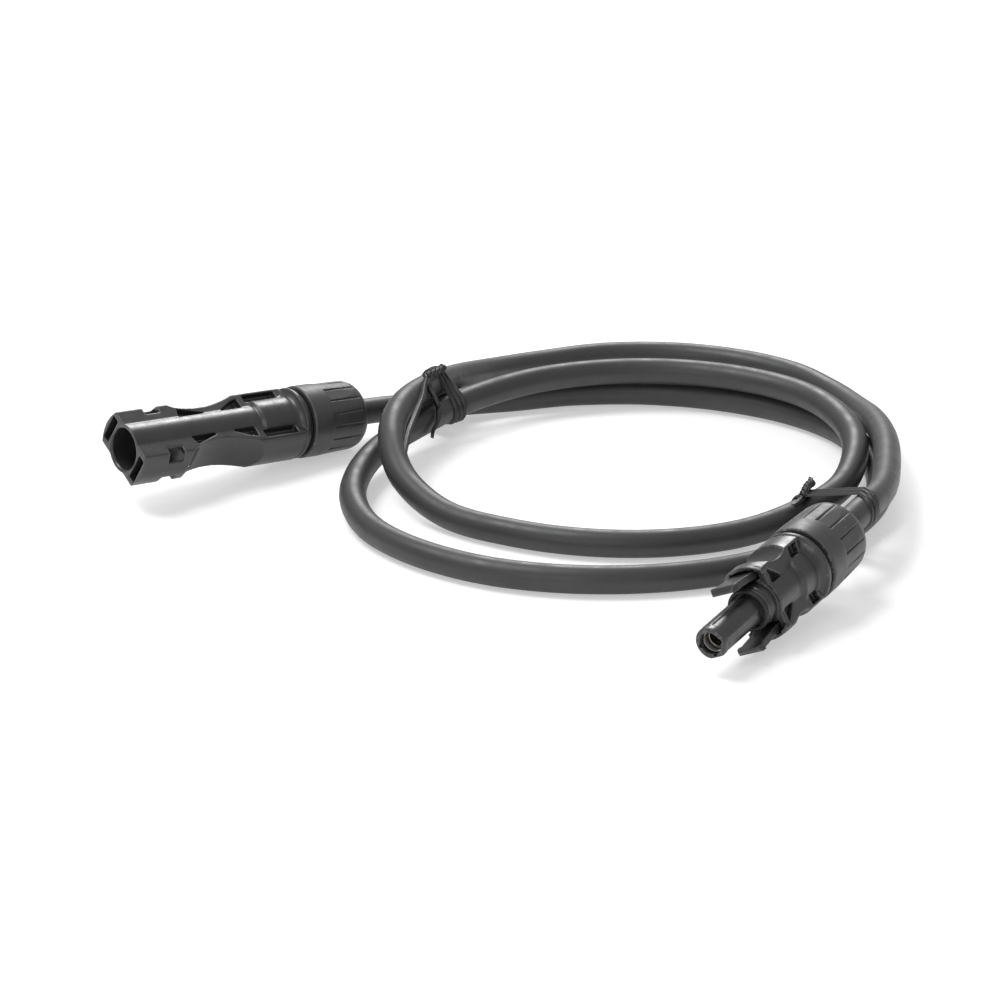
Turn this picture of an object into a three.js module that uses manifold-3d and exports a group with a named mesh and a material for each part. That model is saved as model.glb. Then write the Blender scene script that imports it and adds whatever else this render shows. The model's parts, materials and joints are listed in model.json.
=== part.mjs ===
// Extension lead for solar modules: a pin coupler and a socket coupler joined by one single-core cable,
// which lies coiled and is held by two twist ties. Millimetres, +Z up, standing on z = 0.
//
// Each coupler is drawn in its own frame. Its X axis is the cable's axis: 0 at the front face of the cap
// nut, negative towards the mating end and positive towards the cable. Its Y axis runs through the two
// latches and its Z axis is square to the flat faces.
import * as THREE from 'three';
import { mergeVertices } from 'three/addons/utils/BufferGeometryUtils.js';
import Module from 'manifold-3d';

const wasm = await Module();
wasm.setup();

// ---- Driving dimensions -------------------------------------------------------------------------
const GAP = 0.3;
const OVERCUT = 1;
const ROUND_SEGMENTS = 30;
const GLAND_SEGMENTS = 20;
const SMALL_SEGMENTS = 14;

const JACKET_RADIUS = 3.5;
const JACKET_END = -8.2;
const CONDUCTOR_RADIUS = 1.3;
const CONDUCTOR = [-15.5, -8.5];
const CRIMP = [-16, -9.5];
const CRIMP_RADIUS = [1.6, 2.4];
const CONTACT_RADIUS = 2.0;

const NUT_LENGTH = 19;
const NUT_RADIUS = 9.6;
const NUT_BAND = 6;
const NUT_FLUTES = 8;
const NUT_FLUTE_DEPTH = 0.45;
const CABLE_HOLE_RADIUS = 3.95;

const FLANGE = [-2.2, -1.2];
const FLANGE_RADIUS = 9.6;
const NECK_RADIUS = 7.6;
const THREAD_END = 8;
const GLAND_BORE_RADIUS = 5.95;
const GLAND_BORE_START = -8.6;
const CONTACT_SEAT_RADIUS = 2.75;
const CONTACT_SHOULDER = -12;
const SHOULDER_RADIUS = 4.0;

const EDGE_HALF_HEIGHT = 5.4;
const CROWN_HALF_HEIGHT = 6.0;
const CROWN_HALF_WIDTH = 3;
const EDGE_HALF_WIDTH = 7.9;
const SIDE_HALF_WIDTH = 9.3;
const RIDGE_RADIUS = 6.4;
const BOSS_RADIUS = 7.4;
const CONE_START = [-7, 6.9];

const PIN_MOUTH = -54.5;
const PIN_TIP = -44.7;
const PIN_BOSS = -15;
const MOUTH_BORE_RADIUS = 5.3;
const SLOT_Y = [5.9, 8.2];
const SLOT_HALF_HEIGHT = 3.9;
const SLOT_END = -36;
const WINDOW = [-46.5, -42];
const WINDOW_FROM_Z = 2.6;

const NOSE_TIP = -42.5;
const NOSE_RADIUS = 3.9;
const NOSE_BORE_RADIUS = 2.85;
const COLLAR = -20.4;
const SOCKET_BOSS = -10.4;
const RIM_FRONT = -21.4;
const RIM_RADIUS = [8.4, 9.3];
const BASE_RING_RADIUS = 5.3;
const ARM_ROOT = -17.6;
const ARM_STEM = { end: -28.9, halfWidth: 3.0 };
const ARM_HEAD = { end: -31, halfWidth: 3.7, frontHalfWidth: 3.3 };
const ARM_BEND = -21;
const ARM_INNER_Y = [5.95, 6.9];
const ARM_THICKNESS = 1.7;
const ARM_RECESS = { end: -17.3, y: [5.35, 8.2], halfHeight: 3.5 };

// Where each coupler lies, in degrees and millimetres: roll about its own axis, then pitch, then yaw.
const PIN_PLACE = { at: [-32.8, 51.9, 10.75], roll: 31.9, pitch: 5.7, yaw: 11 };
const SOCKET_PLACE = { at: [23, -101.1, 12.9], roll: 64.5, pitch: -5.9, yaw: 27.9 };

// The cable's centreline, from inside the pin coupler, through the coil, to inside the socket coupler.
const REST = 3.85;
const LEAD_ROUTE = [
  [-40.8, 50.3, 11.6], [-28.7, 52.7, 10.3], [-15.5, 55.3, 9], [-3, 57.6, 7.6], [9, 58.6, 6],
  [22, 58.4, 4.9], [36.5, 57, 3.9], [53.5, 53, REST], [71.5, 43.5, REST], [86, 29.5, REST],
  [96, 12, REST], [99.5, -7.5, REST], [95.5, -27, REST], [87, -44.5, 3.9], [74, -60, 4.8],
  [58, -71, 5.1], [39, -76.5, 4.3], [19, -76.5, REST], [-0.5, -71.5, REST], [-18, -61.5, REST],
  [-31.5, -47.5, REST], [-40, -29.5, REST], [-42.5, -10.5, REST], [-38.5, 7, 4.5], [-30, 21, 5.5],
  [-18, 32, 7], [-2.5, 41, 7.8], [16.5, 47.5, 9.7], [38.5, 50, 10.8], [59, 46.5, 11],
  [76.5, 37, 11], [89.5, 22, 11], [96, 4, 11], [95, -14.5, 10.5], [88, -32, 9],
  [74, -46.5, 5.8], [55.5, -55.5, 5.1], [36, -58.5, 4.1], [16.5, -54.5, REST], [-0.5, -44.5, REST],
  [-13.5, -29.5, REST], [-22, -11.5, 4.2], [-24, 7, 8], [-19.5, 22.5, 13.5], [-9, 36.5, 16],
  [6, 49.5, 15], [22.5, 63, 11], [40, 74.5, 6.5], [58.5, 80, 4], [78, 77.5, REST],
  [95.5, 68, REST], [108.5, 53.5, REST], [115.5, 36.5, REST], [116, 19, REST], [111.5, 1, 5.5],
  [103.5, -18.5, 9], [93, -38, 11.5], [79.5, -57.5, 13.2], [66, -74, 14.8], [52.5, -84.9, 16],
  [39.3, -92.5, 14.8], [27.4, -98.8, 13.4], [15.8, -104.9, 12.1],
];
const LEAD_STEPS = 80;
const LEAD_SIDES = 10;

// A tie's loop is drawn in the upright plane through a point, square to the bundle's heading in degrees.
const TIE_CLEARANCE = 0.4;
const TIE_THICKNESS = 0.85;
const TIE_WIDTH = 4;
const TIE_REACH = 24;
const TIE_LEFT = { at: [10, 51.5], heading: 12 };
const TIE_RIGHT = { at: [55, -70], heading: -6 };
const TWIST_RADIUS = 1.4;
const TWIST_LEFT = [[5, 48.6, 20.8], [7.5, 49.6, 21], [10, 50.6, 21.2]];
const TWIST_RIGHT = [[56, -51.3, 10.8], [58, -52.3, 11.4], [60, -53.6, 12.2]];

// ---- Materials ----------------------------------------------------------------------------------
const plastic = (color, roughness) => new THREE.MeshStandardMaterial({ color, roughness, metalness: 0 });
const metal = (color, roughness) => new THREE.MeshStandardMaterial({ color, roughness, metalness: 1 });
const HOUSING = plastic(0x2a2b2c, 0.45);
const JACKET = plastic(0x303132, 0.55);
const RUBBER = plastic(0x141414, 0.8);
const TIE = plastic(0x101010, 0.3);
const TIN = metal(0xc9c9c6, 0.3);
const COPPER = metal(0xc88a60, 0.4);
const SPRING = metal(0xd8c490, 0.3);

// ---- Solids -------------------------------------------------------------------------------------
// A closed three.js geometry as a solid, whichever way its triangles were wound.
function solid(geometry) {
  const bare = geometry.clone();
  bare.deleteAttribute('normal');
  bare.deleteAttribute('uv');
  const merged = mergeVertices(bare, 1e-4);
  const points = merged.getAttribute('position');
  const index = merged.getIndex().array;
  const a = new THREE.Vector3();
  const b = new THREE.Vector3();
  const c = new THREE.Vector3();
  const triangles = [];
  let volume = 0;
  for (let i = 0; i < index.length; i += 3) {
    const [p, q, r] = index.slice(i, i + 3);
    if (p === q || q === r || r === p) continue;
    triangles.push([p, q, r]);
    a.fromBufferAttribute(points, p);
    b.fromBufferAttribute(points, q);
    c.fromBufferAttribute(points, r);
    volume += a.dot(b.cross(c));
  }
  const outward = volume > 0 ? triangles : triangles.map(([p, q, r]) => [p, r, q]);
  return new wasm.Manifold(new wasm.Mesh({
    numProp: 3,
    vertProperties: new Float32Array(points.array),
    triVerts: new Uint32Array(outward.flat()),
  }));
}

function part(name, body, material) {
  const { vertProperties, triVerts } = body.getMesh();
  const geometry = new THREE.BufferGeometry();
  geometry.setAttribute('position', new THREE.BufferAttribute(new Float32Array(vertProperties), 3));
  geometry.setIndex(new THREE.BufferAttribute(new Uint32Array(triVerts), 1));
  geometry.computeVertexNormals();
  const mesh = new THREE.Mesh(geometry, material);
  mesh.name = name;
  return mesh;
}

const joined = (bodies) => bodies.reduce((whole, body) => whole.add(body));
const without = (body, cuts) => cuts.reduce((rest, cut) => rest.subtract(cut), body);

// Turned about X: the profile is a closed loop of [x, radius], or starts and ends on the axis.
function turned(profile, segments = ROUND_SEGMENTS) {
  const onAxis = profile[0][1] === 0;
  const loop = onAxis ? profile : [...profile, profile[0]];
  const points = loop.map(([x, radius]) => new THREE.Vector2(radius, x));
  return solid(new THREE.LatheGeometry(points, segments).rotateZ(-Math.PI / 2));
}

const rod = (x0, x1, radius, segments) => turned([[x0, 0], [x0, radius], [x1, radius], [x1, 0]], segments);
const ring = (x0, x1, inner, outer, segments) => (
  turned([[x0, inner], [x0, outer], [x1, outer], [x1, inner]], segments)
);

function box([x0, x1], [y0, y1], [z0, z1]) {
  const geometry = new THREE.BoxGeometry(x1 - x0, y1 - y0, z1 - z0);
  return solid(geometry.translate((x0 + x1) / 2, (y0 + y1) / 2, (z0 + z1) / 2));
}

// An outline swept straight: along X it is drawn in (y, z), along Z in (x, y).
function swept(outline, axis, from, to, curveSegments = 5) {
  const shape = outline instanceof THREE.Shape
    ? outline
    : new THREE.Shape(outline.map(([u, v]) => new THREE.Vector2(u, v)));
  const geometry = new THREE.ExtrudeGeometry(shape, { depth: to - from, bevelEnabled: false, curveSegments });
  geometry.translate(0, 0, from);
  if (axis === 'x') {
    const turn = new THREE.Matrix4();
    turn.makeBasis(new THREE.Vector3(0, 1, 0), new THREE.Vector3(0, 0, 1), new THREE.Vector3(1, 0, 0));
    geometry.applyMatrix4(turn);
  }
  return solid(geometry);
}

const mirroredY = (outline) => outline.map(([x, y]) => [x, -y]);
const bothSides = (outline, z0, z1) => (
  [outline, mirroredY(outline)].flatMap((side) => [
    swept(side, 'z', z0, z1),
    swept(side, 'z', -z1, -z0),
  ])
);

// ---- Pieces shared by the two couplers ----------------------------------------------------------
// The moulded body's section: two slightly crowned flats and two bulging sides.
function bodySection() {
  const rise = SIDE_HALF_WIDTH - EDGE_HALF_WIDTH;
  const radius = (EDGE_HALF_HEIGHT ** 2 + rise ** 2) / (2 * rise);
  const centre = SIDE_HALF_WIDTH - radius;
  const sweep = Math.asin(EDGE_HALF_HEIGHT / radius);
  const shape = new THREE.Shape();
  shape.moveTo(EDGE_HALF_WIDTH, -EDGE_HALF_HEIGHT);
  shape.absarc(centre, 0, radius, -sweep, sweep, false);
  shape.lineTo(CROWN_HALF_WIDTH, CROWN_HALF_HEIGHT);
  shape.lineTo(-CROWN_HALF_WIDTH, CROWN_HALF_HEIGHT);
  shape.absarc(-centre, 0, radius, Math.PI - sweep, Math.PI + sweep, false);
  shape.lineTo(-CROWN_HALF_WIDTH, -CROWN_HALF_HEIGHT);
  shape.lineTo(CROWN_HALF_WIDTH, -CROWN_HALF_HEIGHT);
  return shape;
}

// The body's cable end: a cone up to the flange, the neck under the sealing ring, and the thread.
function cableEnd() {
  return turned([
    [CONE_START[0], 0], CONE_START,
    [FLANGE[0], FLANGE_RADIUS - 0.2], [FLANGE[0] + 0.5, FLANGE_RADIUS], [FLANGE[1], FLANGE_RADIUS],
    [FLANGE[1], NECK_RADIUS],
    [THREAD_END, NECK_RADIUS], [THREAD_END, 0],
  ]);
}

// The hole that takes the gland, the crimp's shoulder and the contact's seat.
function glandBore(seatStart) {
  return turned([
    [seatStart, 0], [seatStart, CONTACT_SEAT_RADIUS], [CONTACT_SHOULDER, CONTACT_SEAT_RADIUS],
    [CONTACT_SHOULDER, SHOULDER_RADIUS], [GLAND_BORE_START, SHOULDER_RADIUS],
    [GLAND_BORE_START, GLAND_BORE_RADIUS], [THREAD_END + OVERCUT, GLAND_BORE_RADIUS], [THREAD_END + OVERCUT, 0],
  ], GLAND_SEGMENTS);
}

function capNut(name) {
  const shell = turned([
    [0, 8.1], [0, NUT_RADIUS - 0.2], [0.4, NUT_RADIUS], [NUT_BAND, NUT_RADIUS], [NUT_LENGTH - 3, 9.2],
    [NUT_LENGTH - 1, 8.4], [NUT_LENGTH - 0.2, 7.2], [NUT_LENGTH, 6.2], [NUT_LENGTH, CABLE_HOLE_RADIUS],
    [NUT_LENGTH - 1.6, CABLE_HOLE_RADIUS], [NUT_LENGTH - 1.6, 6.3], [10.6, 8.1],
  ], ROUND_SEGMENTS + 2);
  const flutes = [];
  for (let i = 0; i < NUT_FLUTES; i += 1) {
    const flute = box([NUT_BAND, NUT_LENGTH + OVERCUT], [-1.3, 1.3], [NUT_RADIUS - NUT_FLUTE_DEPTH, 12]);
    flutes.push(flute.rotate([(i * 360) / NUT_FLUTES, 0, 0]));
  }
  return part(name, without(shell, flutes), HOUSING);
}

function glandSeal(name) {
  const waves = 3;
  const [start, end] = [-7.9, 3.9];
  const outer = [];
  for (let i = 0; i <= 2 * waves; i += 1) {
    outer.push([start + ((end - start) * i) / (2 * waves), i % 2 ? 5.6 : 5.15]);
  }
  return part(name, turned([[start, 3.85], ...outer, [end, 3.85]], GLAND_SEGMENTS), RUBBER);
}

// A slotted collar whose fingers close on the cable as the nut's inner cone pushes them in.
function collet(name) {
  const [start, flange, end] = [4.4, 9.0, 16.2];
  const shell = turned([
    [start, 3.95], [start, 5.6], [flange, 5.6], [flange, 7.2], [flange + 0.9, 7.2], [flange + 0.9, 5.9],
    [end, 5.2], [end, 3.95],
  ], GLAND_SEGMENTS);
  const slots = [];
  for (let i = 0; i < 6; i += 1) {
    slots.push(box([flange + 1.6, end + OVERCUT], [-0.4, 0.4], [0, 9]).rotate([60 * i, 0, 0]));
  }
  return part(name, without(shell, slots), HOUSING);
}

const sealingRing = (name) => part(name, ring(-0.9, -GAP, NECK_RADIUS + GAP, 8.8), RUBBER);
const conductor = (name) => part(name, rod(...CONDUCTOR, CONDUCTOR_RADIUS, 12), COPPER);

const SCALLOP_DEPTHS = [
  [-40.2, 10.2], [-38.8, 7.9], [-36.2, 6.4], [-31.7, 5.65], [-26.7, 5.8], [-21.2, 7.1], [-17, 8.8],
  [-14.8, 10.2],
];
const THUMB_DEPTHS = [[-19, 10.2], [-17.5, 8.4], [-15, 7.3], [-12.5, 7.1], [-10, 7.8], [-8, 10.2]];

// A finger recess on both sides, through the body's full height.
function scallops(depths) {
  const curve = new THREE.SplineCurve(depths.map(([x, y]) => new THREE.Vector2(x, y)));
  const outline = curve.getPoints(10).map((point) => [point.x, point.y]);
  return [outline, mirroredY(outline)].map((side) => swept(side, 'z', -9, 9));
}

// ---- Pin coupler --------------------------------------------------------------------------------
function pinHousing() {
  const body = joined([
    swept(bodySection(), 'x', PIN_MOUTH, FLANGE[0]),
    rod(PIN_MOUTH, FLANGE[0], RIDGE_RADIUS),
    rod(PIN_BOSS, FLANGE[0], BOSS_RADIUS),
    cableEnd(),
  ]);
  const socketBore = turned([
    [PIN_MOUTH - OVERCUT, 0], [PIN_MOUTH - OVERCUT, MOUTH_BORE_RADIUS], [-43.7, MOUTH_BORE_RADIUS],
    [-42.2, 4.3], [-31.7, 4.3], [-31.7, 0],
  ]);
  const slots = [1, -1].map((side) => {
    const across = SLOT_Y.map((y) => side * y).sort((a, b) => a - b);
    return box([PIN_MOUTH - OVERCUT, SLOT_END], across, [-SLOT_HALF_HEIGHT, SLOT_HALF_HEIGHT]);
  });
  const window = [[WINDOW[0], 5.9], [WINDOW[1], 5.9], [WINDOW[1], 11], [WINDOW[0], 11]];
  const pockets = [
    bothSides(window, WINDOW_FROM_Z, 9),
    bothSides([[-37.6, 3.3], [-28.4, 3.3], [-33, 4.8], [-36.8, 6.2]], 4.6, 9),
    bothSides([[-25, 3.4], [-17.6, 3.4], [-17.8, 6.6], [-20, 6]], 3.6, 9),
    bothSides([[-15.7, 4.9], [-5.4, 4.9], [-5.4, 7.3], [-15.7, 7.3]], 3.6, 9),
  ].flat();
  const cuts = [socketBore, glandBore(-32), ...slots, ...pockets, ...scallops(SCALLOP_DEPTHS)];
  return part('pin_housing', without(body, cuts), HOUSING);
}

function pinContact() {
  const body = turned([
    [PIN_TIP, 0], [PIN_TIP + 0.8, 1.2], [PIN_TIP + 2.4, CONTACT_RADIUS], [-31.2, CONTACT_RADIUS],
    [-31.2, CRIMP_RADIUS[1]], [CRIMP[1], CRIMP_RADIUS[1]], [CRIMP[1], CRIMP_RADIUS[0]],
    [CRIMP[0], CRIMP_RADIUS[0]], [CRIMP[0], 0],
  ], SMALL_SEGMENTS);
  return part('pin_contact', body, TIN);
}

// ---- Socket coupler -----------------------------------------------------------------------------
function socketHousing() {
  const collarPlate = swept(bodySection(), 'x', COLLAR, FLANGE[0]);
  const nose = turned([
    [NOSE_TIP, 0], [NOSE_TIP, NOSE_RADIUS - 0.3], [NOSE_TIP + 0.5, NOSE_RADIUS], [-23.8, NOSE_RADIUS],
    [-23.8, 5.0], [-22.8, 5.0], [-22.8, BASE_RING_RADIUS], [COLLAR + OVERCUT, BASE_RING_RADIUS],
    [COLLAR + OVERCUT, 0],
  ], 28);
  const rimTube = ring(RIM_FRONT, COLLAR + OVERCUT, ...RIM_RADIUS, 48);
  const rims = [1, -1].map((side) => {
    const sector = [
      [11 * side, -6], [11 * side, 6], [6.5 * side, EDGE_HALF_HEIGHT], [6.5 * side, -EDGE_HALF_HEIGHT],
    ];
    return rimTube.intersect(swept(sector, 'x', RIM_FRONT - OVERCUT, 0));
  });
  const body = joined([
    collarPlate,
    nose,
    ...rims,
    rod(COLLAR, FLANGE[0], RIDGE_RADIUS),
    rod(SOCKET_BOSS, FLANGE[0], BOSS_RADIUS),
    cableEnd(),
  ]);
  const noseBore = turned([
    [NOSE_TIP - OVERCUT, 0], [NOSE_TIP - OVERCUT, 2.15], [NOSE_TIP + 1, 2.15], [NOSE_TIP + 1, NOSE_BORE_RADIUS],
    [-20, NOSE_BORE_RADIUS], [-20, 0],
  ], SMALL_SEGMENTS);
  const keyways = box([NOSE_TIP - OVERCUT, NOSE_TIP + 1.2], [-2.8, 2.8], [-0.7, 0.7]);
  const pockets = [
    bothSides([[-19.1, 3.3], [-14.6, 3.3], [-19.1, 7.1]], 3.7, 9),
    bothSides([[-8.6, 4.8], [-5, 4.8], [-4.6, 7.4], [-8.2, 7.4]], 3.6, 9),
  ].flat();
  const recesses = [1, -1].map((side) => {
    const across = ARM_RECESS.y.map((y) => side * y).sort((a, b) => a - b);
    return box([-30, ARM_RECESS.end], across, [-ARM_RECESS.halfHeight, ARM_RECESS.halfHeight]);
  });
  const cuts = [noseBore, keyways, glandBore(-21), ...pockets, ...recesses, ...scallops(THUMB_DEPTHS)];
  return part('socket_housing', without(body, cuts), HOUSING);
}

// A snap arm: a flat stem out of the collar's recess that flares outward to an arrow-shaped head, whose two
// shoulders lock in the pin coupler's windows.
function latchArm(name, side) {
  const [root, flared] = ARM_INNER_Y;
  const profile = [
    [ARM_ROOT, root], [ARM_BEND, root], [ARM_HEAD.end, flared], [ARM_HEAD.end, flared + ARM_THICKNESS],
    [ARM_BEND, root + ARM_THICKNESS], [ARM_ROOT, root + ARM_THICKNESS],
  ].map(([x, y]) => [x, side * y]);
  const half = [
    [ARM_ROOT, ARM_STEM.halfWidth], [ARM_STEM.end, ARM_STEM.halfWidth], [ARM_STEM.end, ARM_HEAD.halfWidth],
    [ARM_HEAD.end, ARM_HEAD.frontHalfWidth],
  ];
  const plan = [...half, ...mirroredY([...half].reverse())];
  const upright = new THREE.Matrix4().makeRotationX(Math.PI / 2);
  const sheet = swept(plan, 'z', -11, 11).transform(upright.elements);
  return part(name, swept(profile, 'z', -ARM_HEAD.halfWidth, ARM_HEAD.halfWidth).intersect(sheet), HOUSING);
}

function socketContact() {
  const body = turned([
    [-21, 0], [-21, 2.3], [NOSE_TIP + 1.4, 2.3], [NOSE_TIP + 1.4, 2.6], [-19, 2.6], [-19, CRIMP_RADIUS[1]],
    [CRIMP[1], CRIMP_RADIUS[1]], [CRIMP[1], CRIMP_RADIUS[0]], [CRIMP[0], CRIMP_RADIUS[0]], [CRIMP[0], 0],
  ], SMALL_SEGMENTS);
  return part('socket_contact', body, TIN);
}

// The sprung lining of the socket: a waisted sleeve with a lengthwise slit.
function contactBand() {
  const [start, end] = [-39, -23];
  const middle = (start + end) / 2;
  const sleeve = turned([
    [start, 2.08], [start, 2.22], [middle, 2.14], [end, 2.22], [end, 2.08], [middle, 2.0],
  ], SMALL_SEGMENTS);
  return part('contact_band', sleeve.subtract(box([start - 1, end + 1], [0, 3], [-0.25, 0.25])), SPRING);
}

function noseORing() {
  const [middle, centre, thickness] = [-24.8, 4.75, 0.5];
  const loop = [];
  for (const { x, y } of polygon(8, thickness).getPoints()) loop.push([middle + x, centre + y]);
  return part('nose_o_ring', turned(loop, GLAND_SEGMENTS), RUBBER);
}

// ---- Lead and ties ------------------------------------------------------------------------------
const vectors = (points) => points.map((point) => new THREE.Vector3(...point));
const smoothCurve = (points) => new THREE.CatmullRomCurve3(vectors(points), false, 'catmullrom', 0.5);

function polygon(sides, radius) {
  const points = [];
  for (let i = 0; i < sides; i += 1) {
    const angle = (i * 2 * Math.PI) / sides;
    points.push(new THREE.Vector2(radius * Math.cos(angle), radius * Math.sin(angle)));
  }
  return new THREE.Shape(points);
}

function tube(route, radius, sides, steps) {
  const options = { steps, bevelEnabled: false, extrudePath: smoothCurve(route) };
  return solid(new THREE.ExtrudeGeometry(polygon(sides, radius), options));
}

// The convex outline round circles of one radius, counter-clockwise.
function outlineRound(centres, radius) {
  const points = centres.flatMap(([u, v]) => polygon(16, radius).getPoints().map((p) => [u + p.x, v + p.y]));
  points.sort((p, q) => p[0] - q[0] || p[1] - q[1]);
  const chain = (list) => {
    const kept = [];
    for (const [u, v] of list) {
      while (kept.length > 1) {
        const [[u0, v0], [u1, v1]] = kept.slice(-2);
        if ((u1 - u0) * (v - v0) - (v1 - v0) * (u - u0) > 1e-6) break;
        kept.pop();
      }
      kept.push([u, v]);
    }
    return kept.slice(0, -1);
  };
  return [...chain(points), ...chain([...points].reverse())];
}

// Where the lead runs through a tie, as [across, height] for each point of its centreline.
function strandsIn({ at, heading }) {
  const angle = THREE.MathUtils.degToRad(heading);
  const along = new THREE.Vector2(Math.cos(angle), Math.sin(angle));
  const across = new THREE.Vector2(-along.y, along.x);
  const centre = new THREE.Vector2(...at);
  return smoothCurve(LEAD_ROUTE).getPoints(40 * LEAD_ROUTE.length)
    .map((point) => ({ flat: new THREE.Vector2(point.x, point.y).sub(centre), height: point.z }))
    .filter(({ flat }) => Math.abs(flat.dot(along)) < TIE_WIDTH / 2 + 1.2 && flat.length() < TIE_REACH)
    .map(({ flat, height }) => [flat.dot(across), height]);
}

function tieBand(name, place) {
  const strands = strandsIn(place);
  const inside = JACKET_RADIUS + TIE_CLEARANCE;
  const outer = swept(outlineRound(strands, inside + TIE_THICKNESS), 'x', -TIE_WIDTH / 2, TIE_WIDTH / 2);
  const inner = swept(outlineRound(strands, inside), 'x', -TIE_WIDTH, TIE_WIDTH);
  const mesh = part(name, outer.subtract(inner), TIE);
  mesh.position.set(place.at[0], place.at[1], 0);
  mesh.rotation.z = THREE.MathUtils.degToRad(place.heading);
  return mesh;
}

const tieTwist = (name, route) => part(name, tube(route, TWIST_RADIUS, 8, 4), TIE);

// ---- Assembly -----------------------------------------------------------------------------------
function placed({ at, roll, pitch, yaw }, meshes) {
  const group = new THREE.Group();
  group.add(...meshes);
  group.position.set(...at);
  const [x, y, z] = [roll, pitch, yaw].map(THREE.MathUtils.degToRad);
  group.rotation.set(x, y, z, 'ZYX');
  return group;
}

const pinCoupler = placed(PIN_PLACE, [
  pinHousing(),
  pinContact(),
  conductor('pin_conductor'),
  glandSeal('pin_seal'),
  collet('pin_collet'),
  sealingRing('pin_sealing_ring'),
  capNut('pin_cap_nut'),
]);

const socketCoupler = placed(SOCKET_PLACE, [
  socketHousing(),
  latchArm('latch_arm_upper', 1),
  latchArm('latch_arm_lower', -1),
  socketContact(),
  contactBand(),
  conductor('socket_conductor'),
  noseORing(),
  glandSeal('socket_seal'),
  collet('socket_collet'),
  sealingRing('socket_sealing_ring'),
  capNut('socket_cap_nut'),
]);

const lead = [
  part('lead_jacket', tube(LEAD_ROUTE, JACKET_RADIUS, LEAD_SIDES, LEAD_STEPS), JACKET),
  tieBand('tie_left_band', TIE_LEFT),
  tieBand('tie_right_band', TIE_RIGHT),
  tieTwist('tie_left_twist', TWIST_LEFT),
  tieTwist('tie_right_twist', TWIST_RIGHT),
];

// The origin is under the middle of the two couplers' box, on the surface that they lie on.
const couplers = new THREE.Group();
couplers.add(pinCoupler, socketCoupler);
couplers.updateMatrixWorld(true);
const room = new THREE.Box3().setFromObject(couplers, true);
const centre = room.getCenter(new THREE.Vector3());

const group = new THREE.Group();
group.add(couplers, ...lead);
group.position.set(-centre.x, -centre.y, -room.min.z);

export default group;
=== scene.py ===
"""The looks of a coiled solar extension lead: a pin coupler, a socket coupler, one cable and two wire ties.

Pieces are drawn in millimetres, each coupler in its own frame: X is the cable's axis, 0 at the front face
of the cap nut and negative towards the mating end; Y runs through the latches; Z is square to the flats.
"""

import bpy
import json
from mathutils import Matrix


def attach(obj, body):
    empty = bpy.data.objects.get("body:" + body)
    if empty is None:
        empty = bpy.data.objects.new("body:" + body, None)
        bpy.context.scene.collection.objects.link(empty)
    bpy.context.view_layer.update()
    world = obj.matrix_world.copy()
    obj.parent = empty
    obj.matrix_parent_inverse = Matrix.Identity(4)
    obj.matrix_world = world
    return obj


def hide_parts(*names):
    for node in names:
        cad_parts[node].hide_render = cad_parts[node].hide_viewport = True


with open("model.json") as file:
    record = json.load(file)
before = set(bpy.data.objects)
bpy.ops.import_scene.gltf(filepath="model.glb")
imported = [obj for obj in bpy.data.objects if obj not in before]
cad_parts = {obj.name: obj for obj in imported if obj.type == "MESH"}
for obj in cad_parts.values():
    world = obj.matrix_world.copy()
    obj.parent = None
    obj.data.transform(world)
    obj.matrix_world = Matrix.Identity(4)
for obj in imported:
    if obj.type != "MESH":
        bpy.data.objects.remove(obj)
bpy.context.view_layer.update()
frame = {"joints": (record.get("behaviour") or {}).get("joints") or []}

import json
import math
import random

import bmesh
import bpy
from mathutils import Matrix, Vector
from mathutils.geometry import convex_hull_2d

MM = 0.001

# ---- Where things lie, in millimetres, repeated from the CAD ---------------------------------------
PIN_AT, PIN_ROLL, PIN_PITCH, PIN_YAW = (-32.8, 51.9, 10.75), 31.9, 5.7, 11
SOCKET_AT, SOCKET_ROLL, SOCKET_PITCH, SOCKET_YAW = (23, -101.1, 12.9), 64.5, -5.9, 27.9
JACKET_RADIUS = 3.5
REST = 3.85
LEAD_ROUTE = [
    (-40.8, 50.3, 11.6), (-28.7, 52.7, 10.3), (-15.5, 55.3, 9), (-3, 57.6, 7.6), (9, 58.6, 6),
    (22, 58.4, 4.9), (36.5, 57, 3.9), (53.5, 53, REST), (71.5, 43.5, REST), (86, 29.5, REST),
    (96, 12, REST), (99.5, -7.5, REST), (95.5, -27, REST), (87, -44.5, 3.9), (74, -60, 4.8),
    (58, -71, 5.1), (39, -76.5, 4.3), (19, -76.5, REST), (-0.5, -71.5, REST), (-18, -61.5, REST),
    (-31.5, -47.5, REST), (-40, -29.5, REST), (-42.5, -10.5, REST), (-38.5, 7, 4.5), (-30, 21, 5.5),
    (-18, 32, 7), (-2.5, 41, 7.8), (16.5, 47.5, 9.7), (38.5, 50, 10.8), (59, 46.5, 11),
    (76.5, 37, 11), (89.5, 22, 11), (96, 4, 11), (95, -14.5, 10.5), (88, -32, 9),
    (74, -46.5, 5.8), (55.5, -55.5, 5.1), (36, -58.5, 4.1), (16.5, -54.5, REST), (-0.5, -44.5, REST),
    (-13.5, -29.5, REST), (-22, -11.5, 4.2), (-24, 7, 8), (-19.5, 22.5, 13.5), (-9, 36.5, 16),
    (6, 49.5, 15), (22.5, 63, 11), (40, 74.5, 6.5), (58.5, 80, 4), (78, 77.5, REST),
    (95.5, 68, REST), (108.5, 53.5, REST), (115.5, 36.5, REST), (116, 19, REST), (111.5, 1, 5.5),
    (103.5, -18.5, 9), (93, -38, 11.5), (79.5, -57.5, 13.2), (66, -74, 14.8), (52.5, -84.9, 16),
    (39.3, -92.5, 14.8), (27.4, -98.8, 13.4), (15.8, -104.9, 12.1),
]
CAMERA_FROM = Vector((-390.76, -690.66, 304.61))
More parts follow.
